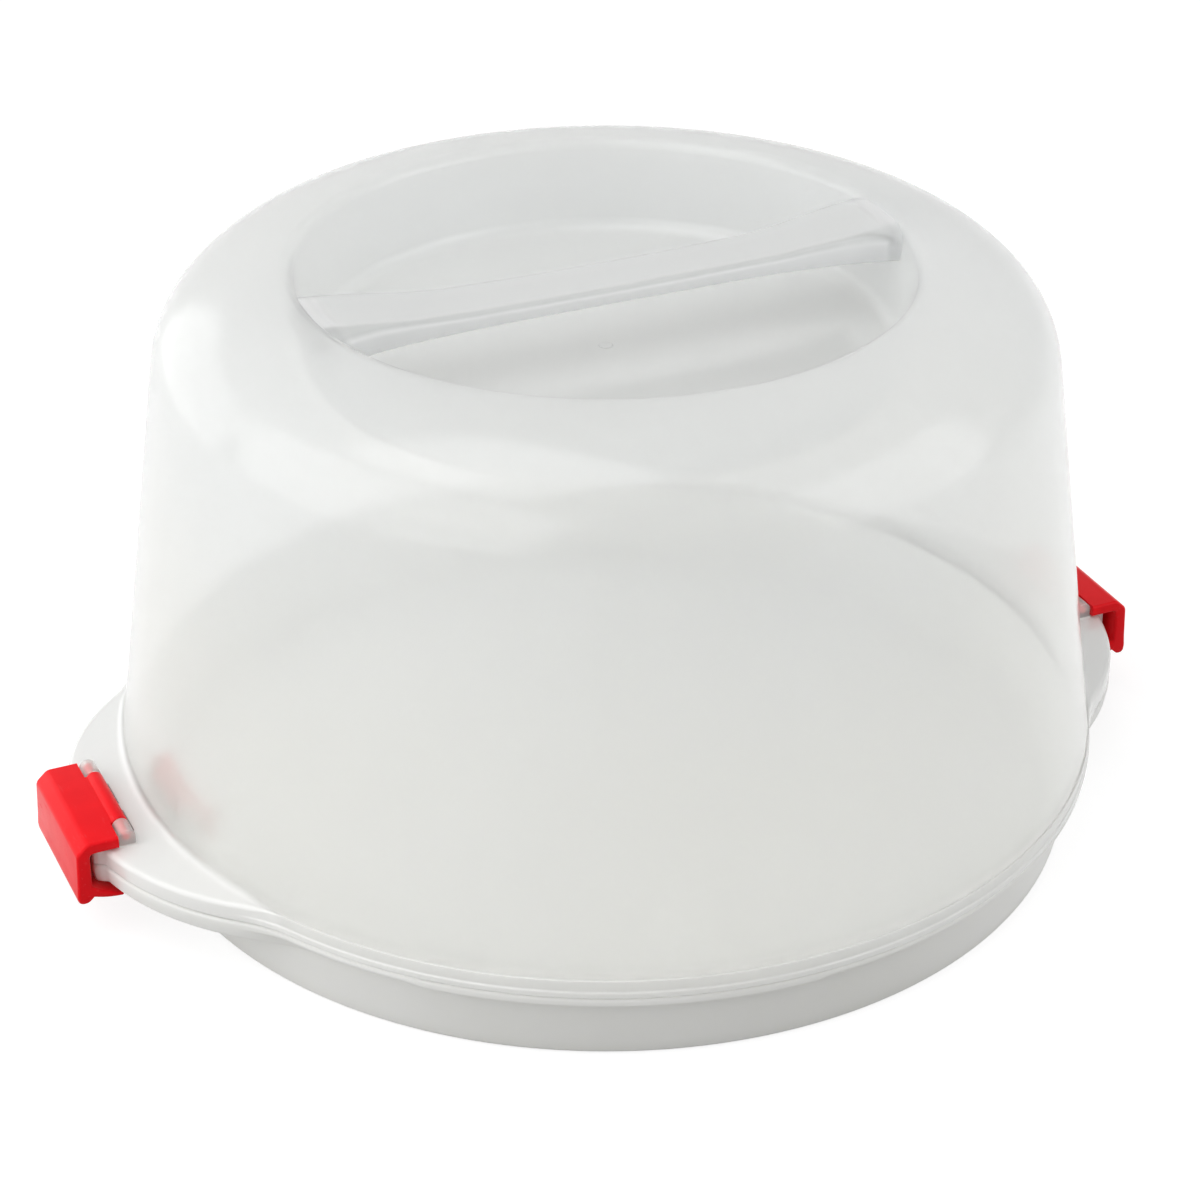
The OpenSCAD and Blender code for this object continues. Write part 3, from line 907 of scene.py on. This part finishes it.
@dataclass
class GripBar:
    """Bar across the recess: turned-down sides, a dip along its top, and ends that rise to the crown."""

    dome: DomeLid
    # Its top takes the recess's greyer tint, a painted shade; its upright sides keep the plain, lighter
    # tint: a painted glow of its lit edges.
    finish: FrostedPlastic = FrostedPlastic(
        "grip_plastic", haze=0.50, cup_haze=0.72, side_haze=1.0, pad_r=0.096,
        recess_shade_tint=(0.925, 0.945, 0.935), onwards=0.30, side_painted_glow=1.0,
    )
    end_w: float = 37.2
    waist: float = 7.4
    dip: float = 2.2
    wall: float = 2.4
    gap: float = 0.0
    top_round: float = 2.4
    stations: int = 81
    corner_steps: int = 7
    top_points: int = 16
    pad_w: float = 46.0
    pad_h: float = 2.6
    pad_side: float = 8.0
    pad_edge: float = 0.3
    tongue_w: float = 24.0
    tongue_t: float = 3.0
    tongue_out: float = 4.1

    def rings(self, inset: float, low: float, end: float) -> np.ndarray:
        """Sections of the bar from end to end, each a closed ring with extra points across its top.

        The half width grows with the fourth power of the way along and the top's height with its
        square. Towards each end the top's middle eases up to the crown, and its sides by a share of
        that. Each point is then
        moved along the bar in proportion, so that the last ring lies on the wall of the recess or
        on its rolled edge.

        Args:
            inset: how far the section is set in from the bar's outer faces.
            low: height of its underside.
            end: how far its ends stay inside the wall of the recess.

        Returns:
            An array of rings.
        """
        z = self.dome.sizes
        share = np.sin(np.linspace(-1, 1, self.stations) * np.pi / 2)
        half = self.end_w / 2 - inset - self.waist * (1 - share**4)
        top = z.bar_top - inset - self.dip * (1 - share**2)
        round_r = max(self.top_round - inset, 0.5)
        corners = line_of((half, low), (half, top), (-half, top), (-half, low))
        ring = rounded(corners, [0.5, round_r, round_r, 0.5], self.corner_steps, closed=True)
        start = 2 * (self.corner_steps + 1)
        step = np.linspace(0, 1, self.top_points + 2)[1:-1, None]
        flat = ring[:, None, start - 1] * (1 - step) + ring[:, None, start] * step
        ring = np.concatenate([ring[:, :start], flat, ring[:, start:]], axis=1)
        across, height = ring[..., 0], ring[..., 1]
        upper = (height - low) / (top[:, None] - low)
        if inset == 0:
            outer_r = self.dome.crown_r - self.dome.roll + 1
            reach = np.hypot(share[:, None] * np.sqrt(outer_r**2 - across**2), across)
            near = smooth(outer_r - self.pad_w, outer_r, reach)
            inside = smooth(self.end_w / 2, self.end_w / 2 - self.pad_side, np.abs(across))
            rise = self.pad_edge + (1 - self.pad_edge) * inside
            height = height + self.pad_h * near * upper**2 * rise
        along = share[:, None] * np.sqrt((self.dome.recess_r(height) - end) ** 2 - across**2)
        return np.stack([along, across, height], axis=-1)

    def build(self) -> bpy.types.Object:
        """Makes the hollow bar with its tongues and dresses it."""
        z = self.dome.sizes
        made = lofted("grip_bar", self.rings(0, z.bar_low, self.gap))
        hollow = lofted("hollow", self.rings(self.wall, z.bar_low - 2, self.wall + 1))
        combined(made, [hollow], "DIFFERENCE")
        dome = self.dome
        x = (dome.crown_r - dome.slot_in, dome.crown_r - dome.roll + self.tongue_out)
        tongues = [dome.tongue_block(side, x, self.tongue_w, self.tongue_t) for side in Side]
        combined(made, tongues, "UNION")
        finished(made, self.finish.material())
        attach(made, "lid")
        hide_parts("carry_handle")
        return made


@dataclass
class Clip:
    """Red clip of one side: plate with a barrel, bevelled wall, finger bead and hook."""

    sizes: Sizes
    side: Side
    body: str
    node: str
    finish: ClipPlastic = ClipPlastic()
    length: float = 48.0
    wall: float = 4.3
    slant: float = 0.5
    plate_t: float = 4.0
    plate_rise: float = 0.8
    wall_in: float = 12.6
    plate_in: float = 3.1
    bevel_w: float = 3.8
    bevel_h: float = 3.5
    hook_r: float = 19.25
    hook_tip: float = 2.6
    hook_low: float = -20.3
    belly_r: float = 28.0
    finger_r: float = 1.9
    finger_out: float = 17.7
    barrel_r: float = 2.8
    barrel_len: float = 29.0
    pin_r: float = 1.4
    pin_end: float = 21.6
    barrel_round: float = 0.4
    pin_round: float = 0.3
    edge_round: float = 1.0
    most_inset: float = 0.42
    heart: tuple = (4.0, -10.0)

    def profile(self) -> tuple[np.ndarray, np.ndarray]:
        """Outer and inner lines of the clip's section about the hinge, matched point by point.

        Seen from a point in the clip's hollow, each line turns one way only, so each is read at the
        same turns as the other.

        Returns:
            The two lines, outwards from the hinge and up, from the barrel round to the hook's tip.
        """
        z = self.sizes
        under = z.ear_z + self.plate_rise - z.hinge_z
        top = under + self.plate_t
        out = self.wall_in + self.wall
        toe = np.array([self.finger_out - self.finger_r, self.hook_low + self.finger_r])
        notch_x = toe[0] - self.finger_r - 0.6
        belly = arc((self.hook_tip, self.hook_low + self.belly_r), self.belly_r,
                    np.degrees(np.arcsin((notch_x - self.hook_tip) / self.belly_r)) - 90, -88, 8)
        claw = arc((0, 0), self.hook_r, -np.degrees(np.arccos(self.wall_in / self.hook_r)),
                   -np.degrees(np.arccos(self.hook_tip / self.hook_r)), 8)
        head = np.array([[self.plate_in, top], [out - self.bevel_w, top], [out, top - self.bevel_h],
                         [out + self.slant, toe[1] + 5.0], [self.finger_out, toe[1] + 1.0],
                         [self.finger_out - 0.3, toe[1] - self.finger_r],
                         [toe[0] - self.finger_r + 0.5, toe[1] - self.finger_r]])
        outer = rounded(np.concatenate([head, belly]), [0, 3.0, 3.0, 8.0, 3.0, 1.8, 1.6, *[3.0] * 9], 6)
        inner = np.concatenate([np.array([[self.plate_in, under], [self.wall_in, under]]), claw])
        inner = rounded(inner, [0, 1.5, 1.5, *[5.0] * 8], 6)
        turns = [-np.unwrap(np.arctan2(*(line - self.heart).T[::-1])) for line in (outer, inner)]
        stations = np.unique(np.concatenate(turns).round(4))
        matched = [np.stack([np.interp(stations, turn, line[:, axis]) for axis in (0, 1)], axis=1)
                   for turn, line in zip(turns, (outer, inner))]
        return matched[0], matched[1]

    def band(self, name: str, outer: np.ndarray, inner: np.ndarray) -> bpy.types.Object:
        """Body between two matched lines, drawn along the hinge, with rounded ends.

        Near each end the two lines draw together by the inset, but by no more than a share of the
        way between them, so the ends can't fold.

        Args:
            name: the body's name.
            outer: the outer line, out from the hinge and up.
            inner: the inner line, point for point.

        Returns:
            The body.
        """
        z = self.sizes
        insets, places = end_rounding(self.edge_round, self.length / 2)
        across = inner - outer
        thick = np.linalg.norm(across, axis=1)[:, None]
        inset = np.minimum(insets[:, None, None], self.most_inset * thick)
        moved = inset * across / np.maximum(thick, TINY)
        ring = np.concatenate([outer + moved, (inner - moved)[:, ::-1]], axis=1)
        rows, columns = ring.shape[:2]
        x = self.side.value * (z.hinge_x + ring[..., 0])
        y = np.broadcast_to(places[:, None], x.shape)
        points = np.stack([x, y, z.hinge_z + ring[..., 1]], axis=-1).reshape(-1, 3)
        faces = grid_faces(rows, columns, False, True)
        for start in (0, (rows - 1) * columns):
            i = np.arange(columns // 2 - 1)
            cap = np.stack([i, i + 1, columns - 2 - i, columns - 1 - i], axis=1) + start
            faces.extend(cap.tolist())
        return body_from(name, points, faces)

    def drawn(self, name: str, ring: np.ndarray, half: float, edge: float) -> bpy.types.Object:
        """Body drawn from a closed line along the hinge, with rounded ends.

        Near each end the ring is moved inwards by the inset along its mitred normals.

        Args:
            name: the body's name.
            ring: the closed line, out from the hinge and up.
            half: half its length.
            edge: radius of its end edges.

        Returns:
            The body.
        """
        z = self.sizes
        area = np.sum(ring[:, 0] * np.roll(ring[:, 1], -1) - np.roll(ring[:, 0], -1) * ring[:, 1])
        along = np.roll(ring, -1, axis=0) - ring
        along = along / np.linalg.norm(along, axis=1)[:, None]
        normal = np.sign(area) * np.stack([-along[:, 1], along[:, 0]], axis=1)
        before = np.roll(normal, 1, axis=0)
        inward = (normal + before) / (1 + (normal * before).sum(1))[:, None]
        insets, places = end_rounding(edge, half)
        moved = ring[None] + inward[None] * insets[:, None, None]
        x = self.side.value * (z.hinge_x + moved[..., 0])
        y = np.broadcast_to(places[:, None], x.shape)
        return lofted(name, np.stack([x, y, z.hinge_z + moved[..., 1]], axis=-1))

    def build(self) -> bpy.types.Object:
        """Makes the clip with its barrel and pins, and dresses it."""
        z = self.sizes
        under = z.ear_z + self.plate_rise - z.hinge_z
        top = under + self.plate_t
        made = self.band(self.node.replace("clip", "latch"), *self.profile())
        turn = arc((0, 0), 1.0, 0, 350, CIRCLE_STEPS)
        near, high = self.plate_in + 2, top - 0.05
        neck = np.array([[0, under], [near, under], [near, high], [0, high]])
        parts = [
            self.drawn("barrel", turn * self.barrel_r, self.barrel_len / 2, self.barrel_round),
            self.drawn("neck", neck, self.barrel_len / 2, self.barrel_round),
            self.drawn("pins", turn * self.pin_r, self.pin_end, self.pin_round),
        ]
        combined(made, parts, "UNION")
        finished(made, self.finish.material())
        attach(made, self.body)
        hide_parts(self.node)
        return made


@dataclass
class Studio:
    """Pale floor and surroundings, soft lamps and the camera."""

    camera_at: tuple = (-0.3778, -0.8431, 0.5989)
    heading: tuple = (0.4071, 0.9134)
    pitch: float = 29.8376
    lens: float = 95.88
    sensor: float = 36.0
    below: float = 0.45
    above: float = 0.52
    horizon: tuple = (-0.2, 0.1)
    front_dip: float = 0.28
    dip_span: tuple = (0.7, 0.97)
    surround: tuple = (0.8, 0.8, 0.8)
    aim: tuple = (0.0, 0.0, 0.09)
    floor_size: float = 6.0
    floor_drop: float = 0.0004
    floor_lit: tuple = (0.35, 0.35, 0.34)
    floor_seen: tuple = (0.35, 0.35, 0.35)
    floor_glow: float = 0.80
    lamps: list = field(default_factory=lambda: [
        ("left", (-0.80, -0.18, 0.40), (1.4, 0.8), 1.3),
        ("left_back", (-0.57, 0.80, 0.32), (0.8, 0.6), 0.9),
        ("right", (0.64, -0.60, 0.40), (0.9, 0.75), 1.2),
        ("top", (-0.55, -0.1, 1.6), (1.2, 1.2), 1.8),
    ])

    def camera(self) -> None:
        """Adds the camera at the photograph's place."""
        data = bpy.data.cameras.new("camera")
        data.lens, data.sensor_width, data.sensor_fit = self.lens, self.sensor, "AUTO"
        made = bpy.data.objects.new("camera", data)
        bpy.context.scene.collection.objects.link(made)
        made.location = self.camera_at
        level = np.cos(np.radians(self.pitch))
        ahead = Vector((self.heading[0] * level, self.heading[1] * level, -np.sin(np.radians(self.pitch))))
        made.rotation_euler = ahead.to_track_quat("-Z", "Y").to_euler()
        bpy.context.scene.camera = made

    def lights(self) -> None:
        """Adds the soft lamps, each with its name, place, size and brightness, aimed at the carrier.

        A lamp's power is its brightness times its area times pi.
        """
        aim = Vector(self.aim)
        for name, at, size, bright in self.lamps:
            data = bpy.data.lights.new(name, "AREA")
            data.shape, data.size, data.size_y = "RECTANGLE", size[0], size[1]
            data.energy = bright * size[0] * size[1] * np.pi
            made = bpy.data.objects.new(name, data)
            bpy.context.scene.collection.objects.link(made)
            made.visible_camera = False
            made.location = at
            made.rotation_euler = (aim - Vector(at)).to_track_quat("-Z", "Y").to_euler()

    def world(self) -> None:
        """Pale surroundings for the eye and in gloss and glass, and soft light for everything else."""
        world = bpy.data.worlds.new("surround")
        bpy.context.scene.world = world
        world.use_nodes = True
        s = Shader("surround", world.node_tree)
        way = s.node("ShaderNodeTexCoord").outputs["Generated"]
        parts = s.node("ShaderNodeSeparateXYZ", {}, {0: way})
        x, y, z = [Value(s, parts.outputs[axis]) for axis in "XYZ"]
        ahead = x * -self.heading[0] + y * -self.heading[1]
        glow = self.below + (self.above - self.below) * z.ease(*self.horizon)
        glow = glow - self.front_dip * ahead.ease(*self.dip_span)
        seen = self.seen(s)
        pale = {"Color": self.surround, "Strength": glow * (1 - seen) + seen}
        shade = s.node("ShaderNodeBackground", {}, pale)
        s.node("ShaderNodeOutputWorld", {}, {"Surface": shade.outputs[0]})

    def seen(self, s: Shader) -> Value:
        """1 for rays from the eye, off gloss and through glass, else 0."""
        path = s.node("ShaderNodeLightPath")
        rays = [Value(s, path.outputs[f"Is {kind} Ray"]) for kind in ("Camera", "Glossy", "Transmission")]
        return rays[0] + rays[1] + rays[2] > 0.5

    def floor(self) -> None:
        """Pale floor that the eye sees white, with the object's shadow on it."""
        half, low = self.floor_size / 2, -self.floor_drop
        mesh = bpy.data.meshes.new("floor")
        corners = [(x * half, y * half, low) for x, y in ((-1, -1), (1, -1), (1, 1), (-1, 1))]
        mesh.from_pydata(corners, [], [(0, 1, 2, 3)])
        made = bpy.data.objects.new("floor", mesh)
        bpy.context.scene.collection.objects.link(made)
        s = Shader("floor_paper")
        plain = s.node("ShaderNodeBsdfDiffuse", {}, {"Color": self.floor_lit})
        dim = s.node("ShaderNodeBsdfDiffuse", {}, {"Color": self.floor_seen})
        glow = s.node("ShaderNodeEmission", {}, {"Strength": self.floor_glow})
        lit = s.node("ShaderNodeAddShader", {}, {0: dim.outputs[0], 1: glow.outputs[0]})
        mesh.materials.append(s.done(s.mixed(self.seen(s), plain, lit)))

    def build(self) -> None:
        """Sets the whole studio up."""
        bpy.context.scene.view_settings.view_transform = "Standard"
        self.camera()
        self.lights()
        self.world()
        self.floor()


def main() -> None:
    """Builds every piece in order."""
    logging.basicConfig(level=logging.INFO, format="%(message)s")
    Studio().build()
    sizes = Sizes()
    BaseTray(sizes).build()
    dome = DomeLid(sizes)
    dome.build()
    GripBar(dome).build()
    Clip(sizes, Side.LEFT, "left_latch", "left_clip").build()
    Clip(sizes, Side.RIGHT, "right_latch", "right_clip").build()


if __name__ == "__main__":
    main()
